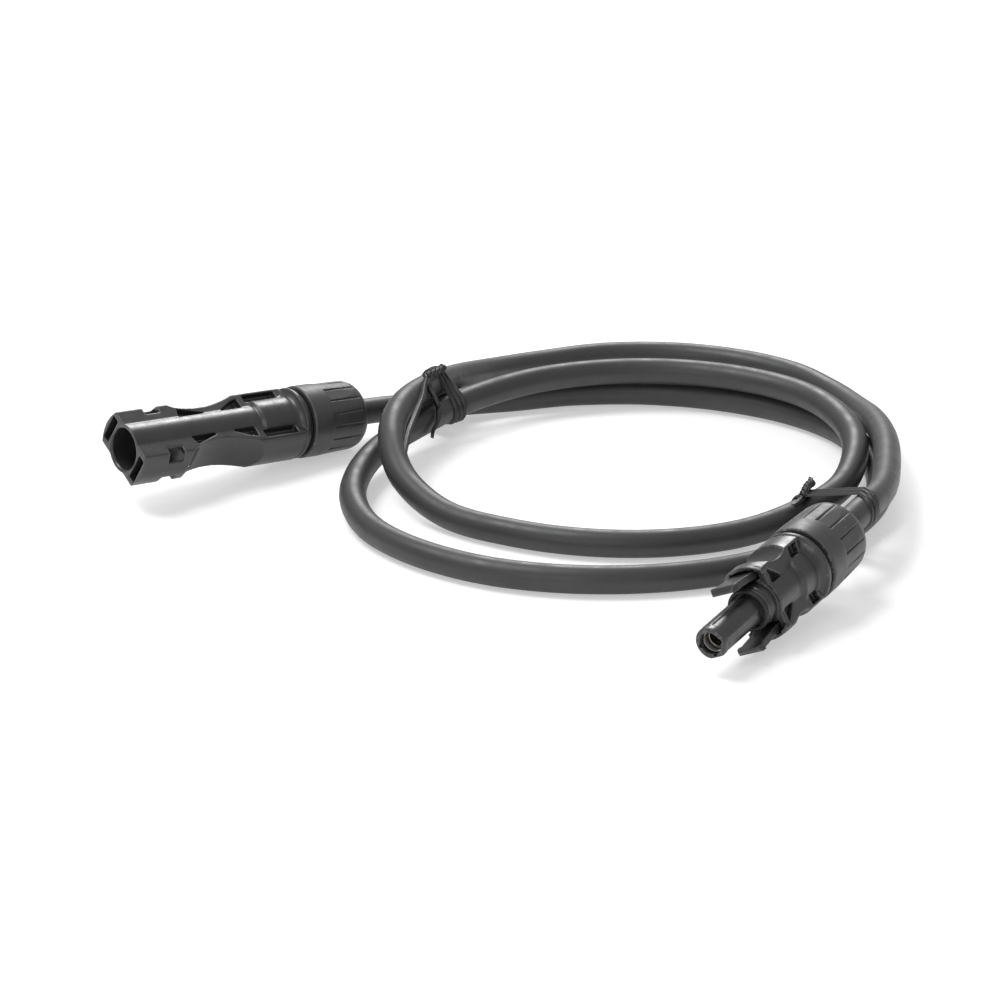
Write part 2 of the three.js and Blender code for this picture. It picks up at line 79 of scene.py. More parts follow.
CAMERA_LENS = 119.34
TIE_LEFT_AT, TIE_LEFT_HEADING = (10, 51.5), 12
TIE_RIGHT_AT, TIE_RIGHT_HEADING = (55, -70), -6


def turn(degrees, axis):
    return Matrix.Rotation(math.radians(degrees), 4, axis)


def coupler_place(at, roll, pitch, yaw):
    return Matrix.Translation(at) @ turn(yaw, "Z") @ turn(pitch, "Y") @ turn(roll, "X")


# The row's origin lies under the middle of the couplers' box; the pin nut's joint says where that is.
PIN_PLACE = coupler_place(PIN_AT, PIN_ROLL, PIN_PITCH, PIN_YAW)
SOCKET_PLACE = coupler_place(SOCKET_AT, SOCKET_ROLL, SOCKET_PITCH, SOCKET_YAW)
turn_joint = next(joint for joint in frame["joints"] if joint["name"] == "pin_nut_turn")
SHIFT = Vector(turn_joint["pos_m"]) / MM - Vector(PIN_AT)
TO_ROW = Matrix.Scale(MM, 4) @ Matrix.Translation(SHIFT)


# ---- Materials ------------------------------------------------------------------------------------
def new_material(name):
    material = bpy.data.materials.new(name)
    material.use_nodes = True
    nodes = material.node_tree.nodes
    return material, nodes, material.node_tree.links, nodes["Principled BSDF"]


def noise(nodes, links, place, scale, detail=4, roughness=0.55):
    node = nodes.new("ShaderNodeTexNoise")
    node.inputs["Scale"].default_value = scale
    node.inputs["Detail"].default_value = detail
    node.inputs["Roughness"].default_value = roughness
    links.new(place, node.inputs["Vector"])
    return node.outputs["Fac"]


def ramp(nodes, links, value, stops):
    node = nodes.new("ShaderNodeValToRGB")
    while len(node.color_ramp.elements) < len(stops):
        node.color_ramp.elements.new(0.5)
    for element, (position, color) in zip(node.color_ramp.elements, stops):
        element.position = position
        element.color = (*color, 1) if isinstance(color, tuple) else (color, color, color, 1)
    links.new(value, node.inputs["Fac"])
    return node.outputs["Color"]


def mixed(nodes, links, share, first, second, blend="MIX"):
    node = nodes.new("ShaderNodeMix")
    node.data_type = "RGBA"
    node.blend_type = blend
    for socket, value in ((node.inputs[0], share), (node.inputs[6], first), (node.inputs[7], second)):
        if isinstance(value, bpy.types.NodeSocket):
            links.new(value, socket)
        else:
            socket.default_value = value
    return node.outputs[2]


def bumped(nodes, links, shader, heights):
    """heights are (socket, strength, distance in metres), laid over each other."""
    normal = None
    for height, strength, distance in heights:
        node = nodes.new("ShaderNodeBump")
        node.inputs["Strength"].default_value = strength
        node.inputs["Distance"].default_value = distance
        links.new(height, node.inputs["Height"])
        if normal is not None:
            links.new(normal, node.inputs["Normal"])
        normal = node.outputs["Normal"]
    links.new(normal, shader.inputs["Normal"])


def tinted(tone, factor):
    return tuple(factor * channel for channel in tone)


def place_of(nodes):
    return nodes.new("ShaderNodeTexCoord").outputs["Object"]


def moulded(name, tone, rough, grain=0.12, worn=1.6):
    """Moulded plastic: cloudy tone, eroded grain, rubbed edges and faint handling marks."""
    material, nodes, links, shader = new_material(name)
    place = place_of(nodes)
    cloud = noise(nodes, links, place, 130)
    base = ramp(nodes, links, cloud, [(0.3, tinted(tone, 0.82)), (0.7, tinted(tone, 1.15))])
    corners = nodes.new("ShaderNodeNewGeometry").outputs["Pointiness"]
    edges = ramp(nodes, links, corners, [(0.515, 0), (0.56, 1)])
    light = (*tinted(tone, 1.9 * worn), 1)
    color = mixed(nodes, links, edges, base, light)
    links.new(color, shader.inputs["Base Color"])
    marks = noise(nodes, links, place, 420, 6, 0.7)
    gloss = ramp(nodes, links, marks, [(0.3, rough - 0.07), (0.72, rough + 0.09)])
    links.new(gloss, shader.inputs["Roughness"])
    erosion = noise(nodes, links, place, 5200, 2)
    bumped(nodes, links, shader, [(erosion, grain, 0.00006), (cloud, 0.25, 0.0002)])
    shader.inputs["Specular IOR Level"].default_value = 0.62
    return material


def extruded_jacket(name, tone, rough):
    """Cable jacket: drawn finish with soft waves, pale scuffs and dusty patches."""
    material, nodes, links, shader = new_material(name)
    place = place_of(nodes)
    cloud = noise(nodes, links, place, 55, 5)
    base = ramp(nodes, links, cloud, [(0.32, tinted(tone, 0.85)), (0.7, tinted(tone, 1.2))])
    scuffs = ramp(nodes, links, noise(nodes, links, place, 900, 8, 0.75), [(0.66, 0), (0.74, 0.55)])
    color = mixed(nodes, links, scuffs, base, (*tinted(tone, 2.6), 1))
    links.new(color, shader.inputs["Base Color"])
    haze = noise(nodes, links, place, 210, 5, 0.6)
    gloss = ramp(nodes, links, haze, [(0.3, rough - 0.06), (0.7, rough + 0.08)])
    links.new(gloss, shader.inputs["Roughness"])
    fine = noise(nodes, links, place, 2600, 3)
    bumped(nodes, links, shader, [(fine, 0.1, 0.00008), (haze, 0.18, 0.0002)])
    shader.inputs["Specular IOR Level"].default_value = 0.55
    return material


def soft_rubber(name, tone):
    """Matt rubber with a faint bloom."""
    material, nodes, links, shader = new_material(name)
    place = place_of(nodes)
    bloom = noise(nodes, links, place, 300, 6, 0.7)
    color = ramp(nodes, links, bloom, [(0.3, tone), (0.75, tinted(tone, 2.2))])
    links.new(color, shader.inputs["Base Color"])
    links.new(ramp(nodes, links, bloom, [(0.3, 0.55), (0.7, 0.75)]), shader.inputs["Roughness"])
    bumped(nodes, links, shader, [(noise(nodes, links, place, 4000, 2), 0.15, 0.00005)])
    return material


def plated(name, tone, rough, brushed=0.2):
    """Turned and plated metal: rings of tool marks and a little tarnish."""
    material, nodes, links, shader = new_material(name)
    place = place_of(nodes)
    tarnish = noise(nodes, links, place, 500, 6, 0.7)
    color = ramp(nodes, links, tarnish, [(0.3, tinted(tone, 0.75)), (0.65, tone)])
    links.new(color, shader.inputs["Base Color"])
    links.new(ramp(nodes, links, tarnish, [(0.3, rough + 0.12), (0.7, rough)]), shader.inputs["Roughness"])
    bumped(nodes, links, shader, [(noise(nodes, links, place, 7000, 2), brushed, 0.00004)])
    shader.inputs["Metallic"].default_value = 1
    return material


def glossy_tie(name, tone):
    """Creased plastic ribbon."""
    material, nodes, links, shader = new_material(name)
    place = place_of(nodes)
    creases = noise(nodes, links, place, 700, 5, 0.6)
    color = ramp(nodes, links, creases, [(0.35, tone), (0.7, tinted(tone, 2.5))])
    links.new(color, shader.inputs["Base Color"])
    links.new(ramp(nodes, links, creases, [(0.3, 0.34), (0.7, 0.5)]), shader.inputs["Roughness"])
    bumped(nodes, links, shader, [(creases, 0.3, 0.00015)])
    return material


HOUSING = moulded("housing_plastic", (0.02, 0.0202, 0.0207), 0.33)
CAP_NUT = moulded("cap_nut_plastic", (0.036, 0.0361, 0.037), 0.45, grain=0.2)
JACKET = extruded_jacket("jacket_plastic", (0.027, 0.0273, 0.028), 0.46)
RUBBER = soft_rubber("seal_rubber", (0.01, 0.01, 0.01))
TIN = plated("contact_tin", (0.76, 0.755, 0.74), 0.24)
COPPER = plated("conductor_copper", (0.78, 0.42, 0.27), 0.32)
SPRING = plated("spring_alloy", (0.6, 0.56, 0.47), 0.26)
TIE = glossy_tie("tie_plastic", (0.008, 0.008, 0.0085))
MATERIALS = {"housing": HOUSING, "cap_nut": CAP_NUT, "jacket": JACKET, "seal": RUBBER, "contact": TIN,
             "conductor": COPPER, "spring": SPRING, "tie": TIE}


# ---- Mesh tools -----------------------------------------------------------------------------------
def mesh_object(name, points, faces):
    mesh = bpy.data.meshes.new(name)
    mesh.from_pydata([tuple(point) for point in points], [], faces)
    edit = bmesh.new()
    edit.from_mesh(mesh)
    bmesh.ops.recalc_face_normals(edit, faces=edit.faces)
    edit.to_mesh(mesh)
    edit.free()
    piece = bpy.data.objects.new(name, mesh)
    bpy.context.scene.collection.objects.link(piece)
    return piece


def turned(profile, segments=96, name="turned"):
    """Turned about X: a closed loop of (x, radius), or a line that starts and ends on the axis."""
    closed = profile[0][1] > 0
    points = []
    rings = []
    for x, radius in profile:
        if radius == 0:
            rings.append([len(points)] * segments)
            points.append((x, 0, 0))
            continue
        rings.append(list(range(len(points), len(points) + segments)))
        for i in range(segments):
            angle = 2 * math.pi * i / segments
            points.append((x, radius * math.cos(angle), radius * math.sin(angle)))
    faces = []
    pairs = list(zip(rings, rings[1:])) + ([(rings[-1], rings[0])] if closed else [])
    for first, second in pairs:
        for i in range(segments):
            j = (i + 1) % segments
            corners = list(dict.fromkeys([first[i], first[j], second[j], second[i]]))
            if len(corners) > 2:
                faces.append(corners)
    return mesh_object(name, points, faces)


def rod(x0, x1, radius, segments=96):
    return turned([(x0, 0), (x0, radius), (x1, radius), (x1, 0)], segments)


def ring(x0, x1, inner, outer, segments=96, name="ring"):
    return turned([(x0, inner), (x0, outer), (x1, outer), (x1, inner)], segments, name)


def prism(outline, axis, start, end, name="prism"):
    """An outline swept straight: along X it is drawn in (y, z), along Z in (x, y)."""
    count = len(outline)
    points = []
    for level in (start, end):
        points += [(level, u, v) if axis == "x" else (u, v, level) for u, v in outline]
    faces = [list(range(count)), list(range(count, 2 * count))]
    for i in range(count):
        j = (i + 1) % count
        faces.append([i, j, count + j, count + i])
    return mesh_object(name, points, faces)


def box(xs, ys, zs):
    (y0, y1), (z0, z1) = ys, zs
    return prism([(y0, z0), (y1, z0), (y1, z1), (y0, z1)], "x", *xs)


def applied(piece):
    """The piece with its modifiers made real."""
    graph = bpy.context.evaluated_depsgraph_get()
    mesh = bpy.data.meshes.new_from_object(piece.evaluated_get(graph))
    piece.modifiers.clear()
    old, piece.data = piece.data, mesh
    bpy.data.meshes.remove(old)
    return piece


def carved(name, adds, cuts=(), voxel=0.22, soften=3):
    """Joins and cuts closed solids, then gives the result the small round edges of a moulding."""
    whole, *more = adds
    whole.name = name
    tools = [(piece, "UNION") for piece in more] + [(piece, "DIFFERENCE") for piece in cuts]
    for tool, operation in tools:
        step = whole.modifiers.new(operation, "BOOLEAN")
        step.solver = "MANIFOLD"
        step.operation = operation
        step.object = tool
    bpy.context.view_layer.update()
    applied(whole)
    for tool, _ in tools:
        bpy.data.objects.remove(tool)
    if voxel:
        remesh = whole.modifiers.new("remesh", "REMESH")
        remesh.mode = "VOXEL"
        remesh.voxel_size = voxel * 1
        smooth = whole.modifiers.new("smooth", "SMOOTH")
        smooth.factor = 0.5
        smooth.iterations = soften
        applied(whole)
    return whole


def shaded(piece, material, sharp=None):
    mesh = piece.data
    mesh.materials.clear()
    mesh.materials.append(material)
    mesh.polygons.foreach_set("use_smooth", [True] * len(mesh.polygons))
    if sharp:
        mesh.set_sharp_from_angle(angle=math.radians(sharp))
    return piece


def settled(piece, place, body, slot, nodes, sharp=None):
    """Puts a finished piece in the row's frame, on its body, with its material, for the nodes it replaces."""
    piece.data.transform(TO_ROW @ place)
    piece.data.update()
    shaded(piece, MATERIALS[slot], sharp)
    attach(piece, body)
    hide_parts(*nodes)
    return piece


def swept(name, paths, profile):
    """Sweeps a closed profile of (side, out) along paths of (point, side, out) triples.
    A path is closed where its first triple is repeated at its end."""
    points = []
    faces = []
    size = len(profile)
    for path in paths:
        start = len(points)
        closed = (path[0][0] - path[-1][0]).length < 1e-6
        stations = path[:-1] if closed else path
        for centre, side, out in stations:
            points += [centre + side * u + out * v for u, v in profile]
        count = len(stations)
        for i in range(count if closed else count - 1):
            first, second = start + i * size, start + ((i + 1) % count) * size
            for k in range(size):
                m = (k + 1) % size
                faces.append([first + k, first + m, second + m, second + k])
        if not closed:
            faces.append([start + k for k in range(size)])
            faces.append([start + (count - 1) * size + k for k in range(size)])
    return mesh_object(name, points, faces)


def smooth_line(route, steps):
    """A uniform Catmull-Rom curve through the route's points, as the CAD draws it."""
    points = [Vector(point) for point in route]
    padded = [2 * points[0] - points[1], *points, 2 * points[-1] - points[-2]]
    line = []
    for a, b, c, d in zip(padded, padded[1:], padded[2:], padded[3:]):
        for i in range(steps):
            t = i / steps
            line.append(0.5 * (2 * b + (c - a) * t + (2 * a - 5 * b + 4 * c - d) * t ** 2
                               + (3 * b - a - 3 * c + d) * t ** 3))
    return line + [points[-1]]


def mirrored(outline):
    return [(x, -y) for x, y in outline]


def both_sides(outline, z0, z1):
    return [prism(side, "z", *sorted((sign * z0, sign * z1)))
            for side in (outline, mirrored(outline)) for sign in (1, -1)]


# ---- Shared coupler shapes ------------------------------------------------------------------------
EDGE_Y, EDGE_Z, SIDE_Y = 7.9, 5.4, 9.3
CROWN_Y, CROWN_Z = 3, 5.35
FLANGE_RADIUS = 9.4
NUT_RADIUS = 9.6


def body_section():
    """Two crowned flats and two bulging sides."""
    rise = SIDE_Y - EDGE_Y
    radius = (EDGE_Z ** 2 + rise ** 2) / (2 * rise)
    centre = SIDE_Y - radius
    sweep = math.asin(EDGE_Z / radius)
    bulge = [(centre + radius * math.cos(sweep * t / 12), radius * math.sin(sweep * t / 12))
             for t in range(-12, 13)]
    left = [(-y, -z) for y, z in bulge]
    top = [(CROWN_Y, CROWN_Z), (-CROWN_Y, CROWN_Z)]
    bottom = [(-CROWN_Y, -CROWN_Z), (CROWN_Y, -CROWN_Z)]
    return bulge + top + left + bottom


def cable_end():
    return turned([
        (-7, 0), (-7, 6.9), (-5, 7.1), (-3.6, 7.8), (-2.9, 8.7), (-2.6, FLANGE_RADIUS), (-1.6, FLANGE_RADIUS),
        (-1.6, 7.6), (8, 7.6), (8, 0),
    ])


def thread_grooves():
    """Closed rings of thread-like grooves on the neck that the cap nut covers."""
    cutters = []
    for i in range(4):
        x = 1.2 + 1.5 * i
        cutters.append(turned([(x - 0.45, 7.8), (x, 7.1), (x + 0.45, 7.8)]))
    return cutters


def gland_bore(seat):
    return turned([
        (seat, 0), (seat, 2.75), (-12, 2.75), (-12, 4), (-8.6, 4), (-8.6, 5.95), (9, 5.95), (9, 0),
    ])


def scallops(depths):
    line = [point.xy for point in smooth_line([(x, y, 0) for x, y in depths], 8)]
    outline = [tuple(point) for point in line]
    return [prism(side, "z", -9, 9) for side in (outline, mirrored(outline))]


def cap_nut(name):
    shell = turned([
        (0, 8.1), (0, NUT_RADIUS - 0.35), (0.35, NUT_RADIUS), (5.6, NUT_RADIUS), (6.2, 9.55), (16, 9.15),
        (17.3, 8.75), (18.2, 8.1), (18.8, 7.2), (19, 6.2), (19, 4.3), (18.7, 3.95), (17.4, 3.95),
        (17.4, 6.3), (10.6, 8.1),
    ], 144)
    cuts = []
    for i in range(8):
        angle = 45 * i
        panel = prism([(-1.6, 9.2), (1.6, 9.2), (2.1, 11), (-2.1, 11)], "x", 6.6, 20)
        panel.data.transform(turn(angle, "X"))
        cuts.append(panel)
        for side in (-11.5, 11.5):
            groove = prism([(-0.2, 8.85), (0.2, 8.85), (0.36, 11), (-0.36, 11)], "x", 6.4, 20)
            groove.data.transform(turn(angle + side, "X"))
            cuts.append(groove)
    return carved(name, [shell], cuts, voxel=0.17, soften=3)


def gland_seal(name):
    profile = [(-7.9, 3.85)]
    for i in range(49):
        t = i / 48
        profile.append((-7.9 + 11.8 * t, 5.38 + 0.2 * math.sin(6 * math.pi * t - math.pi / 2)))
    profile.append((3.9, 3.85))
    return turned(profile, 72, name)


def collet(name):
    shell = turned([
        (4.4, 3.95), (4.4, 5.6), (9, 5.6), (9, 7.1), (9.1, 7.2), (9.8, 7.2), (9.9, 7.1), (9.9, 5.9),
        (15.9, 5.3), (16.2, 5.0), (16.2, 3.95),
    ])
    slots = []
    for i in range(6):
        slot_box = box((10.6, 17.2), (-0.4, 0.4), (0, 9))
        slot_box.data.transform(turn(60 * i, "X"))
        slots.append(slot_box)
    return carved(name, [shell], slots, voxel=0.17, soften=2)


def sealing_ring(name):
    profile = []
    for i in range(16):
        angle = 2 * math.pi * i / 16
        profile.append((-0.6 + 0.29 * math.cos(angle), 8.1 + 0.38 * math.sin(angle)))
    return turned(profile, 96, name)


def conductor(name):
    """Seven strands laid round each other."""
    paths = []
    for strand in range(7):
        radius = 0 if strand == 0 else 0.84
        path = []
        for i in range(29):
            x = -15.5 + 0.25 * i
            angle = math.radians(60 * strand + 14 * i)
            path.append((Vector((x, radius * math.cos(angle), radius * math.sin(angle))), Vector((0, 1, 0)),
                         Vector((0, 0, 1))))
        paths.append(path)
    circle = [(0.42 * math.cos(math.pi * k / 6), 0.42 * math.sin(math.pi * k / 6)) for k in range(12)]
    return swept(name, paths, circle)


# ---- Pin coupler ----------------------------------------------------------------------------------
PIN_MOUTH = -54.5


def pin_housing():
    adds = [
        prism(body_section(), "x", PIN_MOUTH, -3.2),
        rod(PIN_MOUTH, -3.2, 6.4),
        turned([(-15.1, 0), (-15.1, 6.5), (-14.3, 7.4), (-3.2, 7.4), (-3.2, 0)]),
        cable_end(),
    ]
    bore = turned([
        (-55.7, 0), (-55.7, 5.75), (PIN_MOUTH, 5.75), (-54, 5.3), (-43.7, 5.3), (-42.2, 4.3), (-31.7, 4.3),
        (-31.7, 0),
    ])
    cuts = [bore, gland_bore(-32), *thread_grooves()]
    for side in (1, -1):
        cuts.append(box((-55.7, -36), sorted((side * 5.9, side * 8.2)), (-3.9, 3.9)))
    cuts += both_sides([(-46.5, 5.9), (-42, 5.9), (-42, 11), (-46.5, 11)], 2.6, 9)
    cuts += both_sides([(-37.6, 3.4), (-28.4, 3.4), (-33, 4.9), (-36.8, 6.2)], 3.2, 9)
    cuts += both_sides([(-25, 3.4), (-17.6, 3.4), (-17.8, 6.6), (-20, 6)], 3.6, 9)
    cuts += both_sides([(-15.7, 4.9), (-5.4, 4.9), (-5.4, 7.3), (-15.7, 7.3)], 3.6, 9)
    cuts += scallops([(-40.2, 10.2), (-38.8, 7.9), (-36.2, 6.4), (-31.7, 5.65), (-26.7, 5.8), (-21.2, 7.1),
                      (-17, 8.8), (-14.8, 10.2)])
    return carved("pin_housing_moulding", adds, cuts)


def pin_contact():
    return turned([
        (-44.7, 0), (-44.6, 0.7), (-44.1, 1.25), (-43.1, 1.75), (-41.9, 2), (-31.2, 2), (-31.2, 2.25),
        (-31, 2.4), (-15.2, 2.4), (-14.9, 2.25), (-13.2, 2.25), (-12.9, 2.4), (-12, 2.4), (-11.7, 2.25),
        (-10.4, 2.25),
        (-10.1, 2.4), (-9.5, 2.4), (-9.5, 1.6), (-16, 1.6), (-16, 0),
    ], 64, "pin_contact_turning")


# ---- Socket coupler -------------------------------------------------------------------------------
NOSE_TIP = -42.5
COLLAR = -20.4


def socket_housing():
    nose = turned([
        (NOSE_TIP, 0), (NOSE_TIP, 3.6), (-42.2, 3.9), (-40.6, 3.9), (-40.4, 3.72), (-23.8, 3.72), (-23.8, 4.9),
        (-23.6, 5), (-22.9, 5), (-22.7, 5.3), (COLLAR + 1, 5.3), (COLLAR + 1, 0),
    ])
    adds = [prism(body_section(), "x", COLLAR, -3.2), nose]
    for side in (1, -1):
        rim = ring(-21.4, COLLAR + 1, 8.4, 9.3)
        sector = prism([(side * 11, -6), (side * 11, 6), (side * 6.5, 5.4), (side * 6.5, -5.4)], "x", -30, 0)
        step = rim.modifiers.new("sector", "BOOLEAN")
        step.solver = "MANIFOLD"
        step.operation = "INTERSECT"
        step.object = sector
        bpy.context.view_layer.update()
        adds.append(applied(rim))
        bpy.data.objects.remove(sector)
        adds.append(box((-40.6, -24), (-0.45, 0.45), sorted((side * 3.3, side * 3.9))))
    adds += [
        box((-41, -26.5), (3.2, 3.9), (-1.1, 1.1)),
        rod(COLLAR, -3.2, 6.4),
        turned([(-10.5, 0), (-10.5, 6.5), (-9.8, 7.4), (-3.2, 7.4), (-3.2, 0)]),
        cable_end(),
    ]
    bore = turned([
        (-43.5, 0), (-43.5, 2.8), (NOSE_TIP, 2.8), (-42.1, 2.6), (-41.5, 2.6), (-41.5, 2.85), (-20, 2.85),
        (-20, 0),
    ])
    cuts = [bore, gland_bore(-21), *thread_grooves()]
    cuts.append(box((-43.5, -41.3), (-3.2, 0), (-0.5, 0.5)))
    cuts.append(box((-43.5, -41.3), (-0.5, 0.5), (-3.2, 3.2)))
    cuts.append(box((-43.5, -25.6), (-5, -3.45), (-3, 3)))
    cuts += both_sides([(-19.1, 3.3), (-14.6, 3.3), (-19.1, 7.1)], 3.7, 9)
    cuts += both_sides([(-8.6, 4.8), (-5, 4.8), (-4.6, 7.4), (-8.2, 7.4)], 3.6, 9)
    for side in (1, -1):
        cuts.append(box((-30, -17.3), sorted((side * 5.35, side * 8.2)), (-3.5, 3.5)))
    cuts += scallops([(-19, 10.2), (-17.5, 8.4), (-15, 7.3), (-12.5, 7.1), (-10, 7.8), (-8, 10.2)])
    return carved("socket_housing_moulding", adds, cuts, voxel=0.2)


def latch_arm(name, side):
    """A flat stem that flares outward to an arrow-shaped head with two shoulders."""
    outline = [(-17.6, 5.95), (-21, 5.95), (-31, 6.9), (-31, 7.4), (-30, 8.5), (-21, 7.65), (-17.6, 7.65)]
    arm = prism([(x, side * y) for x, y in outline], "z", -3.7, 3.7)
    plan = [(-17, 3), (-28.9, 3), (-28.9, 3.7), (-30, 3.5), (-31.2, 2.7), (-31.2, 5), (-17, 5)]
    trims = [prism([(x, edge * z) for x, z in plan], "z", -12, 12) for edge in (1, -1)]
    for trim in trims:
        trim.data.transform(turn(90, "X"))
    return carved(name, [arm], trims, voxel=0.14, soften=3)


def socket_contact():
    return turned([
        (-21, 0), (-21, 2.3), (-40.9, 2.3), (-41.1, 2.4), (-41.1, 2.5), (-41, 2.6), (-19, 2.6), (-19, 2.4),
        (-15.2, 2.4), (-14.9, 2.25), (-13.2, 2.25), (-12.9, 2.4), (-9.5, 2.4), (-9.5, 1.6), (-16, 1.6),
        (-16, 0),
    ], 64, "socket_contact_turning")


def contact_band():
    """A waisted sleeve with louvres along it and one slit."""
    sleeve = turned([(-39, 2.08), (-39, 2.22), (-35, 2.2), (-31, 2.14), (-27, 2.2), (-23, 2.22), (-23, 2.08),
                     (-27, 2.06), (-31, 2.0), (-35, 2.06)], 64)
    slots = [box((-40, -22), (0, 3), (-0.25, 0.25))]
    for i in range(1, 12):
        slot_box = box((-37, -25), (1, 3), (-0.12, 0.12))
        slot_box.data.transform(turn(30 * i, "X"))
        slots.append(slot_box)
    return carved("contact_band_louvres", [sleeve], slots, voxel=0)


def nose_o_ring():
    profile = []
    for i in range(16):
        angle = math.pi * i / 8
        profile.append((-24.8 + 0.5 * math.cos(angle), 4.75 + 0.5 * math.sin(angle)))
    return turned(profile, 96, "nose_o_ring_bead")


# ---- Lead and ties --------------------------------------------------------------------------------
def lead_curve():
    line = [TO_ROW @ point for point in smooth_line(LEAD_ROUTE, 8)]
    curve = bpy.data.curves.new("lead", "CURVE")
    curve.dimensions = "3D"
    curve.bevel_depth = JACKET_RADIUS * MM
    curve.bevel_resolution = 10
    curve.use_fill_caps = True
    spline = curve.splines.new("POLY")
    spline.points.add(len(line) - 1)
    for spot, point in zip(spline.points, line):
        spot.co = (*point, 1)
    spline.use_smooth = True
    curve.materials.append(JACKET)
    piece = bpy.data.objects.new("lead_cable", curve)
    bpy.context.scene.collection.objects.link(piece)
    return piece


# A tie's section: a thin ribbon with a rib over its wire.
RIBBON = [
    (-0.78, -0.08), (-0.8, 0.08), (-0.45, 0.14), (-0.33, 0.42), (-0.12, 0.55), (0.12, 0.55), (0.33, 0.42),
    (0.45, 0.14), (0.8, 0.08), (0.78, -0.08),
]


def wrap_path(at, heading, offset, room):
    """A closed turn of ribbon round every strand that it crosses, in an upright plane."""
    along = Vector((math.cos(math.radians(heading)), math.sin(math.radians(heading)), 0))
    across = Vector((-along.y, along.x, 0))
    centre = Vector((*at, 0)) + along * offset
    circle = []
    for point in smooth_line(LEAD_ROUTE, 30):
        away = point - centre
        if abs(away.dot(along)) < 0.9 and away.xy.length < 24:
            for k in range(24):
                angle = math.pi * k / 12
                reach = JACKET_RADIUS + room
                sideways = away.dot(across) + reach * math.cos(angle)
                circle.append(Vector((sideways, point.z + reach * math.sin(angle))))
    hull = [circle[i] for i in convex_hull_2d(circle)]
    lengths = [0.0]
    for first, second in zip(hull, hull[1:] + hull[:1]):
        lengths.append(lengths[-1] + (second - first).length)
    stations = []
    count = 110
    for i in range(count):
        target = lengths[-1] * i / count
        k = max(j for j in range(len(hull)) if lengths[j] <= target)
        share = (target - lengths[k]) / max(lengths[k + 1] - lengths[k], 1e-9)
        stations.append(hull[k].lerp(hull[(k + 1) % len(hull)], share))
    path = []
    for i, spot in enumerate(stations):
        tangent = (stations[(i + 2) % count] - stations[i - 2]).normalized()
        out = Vector((tangent.y, -tangent.x))
        point = centre + across * spot.x + Vector((0, 0, spot.y))
        path.append((point, along, across * out.x + Vector((0, 0, out.y))))
    middle = sum((station[0] for station in path), Vector()) / count
    if (path[0][0] - middle).dot(path[0][2]) < 0:
        path = [(point, side, -out) for point, side, out in path]
    return path + [path[0]]


def tie_wraps(name, at, heading):
    rng = random.Random(heading)
    paths = []
    for i, offset in enumerate((-1.45, 0, 1.45)):
        paths.append(wrap_path(at, heading + rng.uniform(-2, 2), offset, 0.2 + 0.12 * i))
    return swept(name, paths, RIBBON)


def framed(line, out_hint, spin=0.0):
    """Side and outward directions along a line, turning by spin radians over its length."""
    path = []
    last = len(line) - 1
    for i, point in enumerate(line):
        tangent = (line[min(i + 1, last)] - line[max(i - 1, 0)]).normalized()
        side = tangent.cross(Vector(out_hint)).normalized()
        out = side.cross(tangent).normalized()
        turned_by = Matrix.Rotation(spin * i / last, 3, tangent)
        path.append((point, turned_by @ side, turned_by @ out))
    return path


def twisted_pair(axis_points, turns, radius):
    """Two ribbons wound round each other along a line."""
    line = smooth_line(axis_points, 40)
    base = framed(line, (0, 0, 1))
    last = len(base) - 1
    paths = []
    for start in (0, math.pi):
        path = []
        for i, (point, side, out) in enumerate(base):
            angle = start + 2 * math.pi * turns * i / last
            outward = side * math.cos(angle) + out * math.sin(angle)
            tangent = side.cross(out)
            path.append((point + outward * radius, tangent.cross(outward).normalized(), outward))
        paths.append(path)
    return paths


def tie_ends(name, knot, turns, tails, out_hint):
    paths = twisted_pair(knot, turns, 0.55)
    for tail, spin in tails:
        paths.append(framed(smooth_line(tail, 12), out_hint, spin))
    return swept(name, paths, RIBBON)


TO_CAMERA = tuple(CAMERA_FROM.normalized())


# ---- Camera and lead, first -----------------------------------------------------------------------
def set_camera():
    data = bpy.data.cameras.new("camera")
    data.lens = CAMERA_LENS
    data.sensor_width = 36
    data.clip_end = 20
    camera = bpy.data.objects.new("camera", data)
    bpy.context.scene.collection.objects.link(camera)
    camera.location = TO_ROW @ CAMERA_FROM
    camera.rotation_euler = (-CAMERA_FROM).to_track_quat("-Z", "Y").to_euler()
    bpy.context.scene.camera = camera


set_camera()
lead = lead_curve()
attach(lead, "root")
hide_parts("lead_jacket")

LEFT_KNOT = [(2.2, 43.6, 20.2), (5.4, 45.6, 20), (8.6, 48.2, 19.5), (11, 50.6, 19.2)]
LEFT_TAILS = [
    ([(2.4, 43.4, 19.9), (0.4, 41.1, 19.1), (-3.2, 35.9, 17.5), (-8.8, 29, 16), (-15.2, 20.9, 14.6),
      (-19.6, 14.6, 13), (-21.9, 11.4, 11.8)], -0.6),
    ([(2.6, 43, 19.6), (1.6, 41.1, 18.4), (3.2, 41.2, 15.1), (4.3, 41, 12.2), (3.7, 39.7, 11.3),
      (2.7, 38.2, 9.3), (0.8, 37.2, 7.1), (0.6, 37.4, 5.2)], 1.2),
]
RIGHT_KNOT = [(60.7, -51.6, 10.4), (58.2, -53.6, 10.8), (56, -55.6, 10.6), (53.4, -58, 10)]
RIGHT_TAILS = [
    ([(53.8, -57.6, 10.1), (52.4, -58.8, 9.7), (51, -59.4, 9.3), (49.6, -59.9, 9.1)], 0.5),
    ([(60.4, -51.8, 10.6), (61.4, -50.4, 10.8), (61.6, -49.6, 9.6), (60.8, -49.6, 8.4)], 0.8),
]
IN_PLACE = Matrix.Identity(4)
left_wraps = tie_wraps("tie_left_wraps", TIE_LEFT_AT, TIE_LEFT_HEADING)
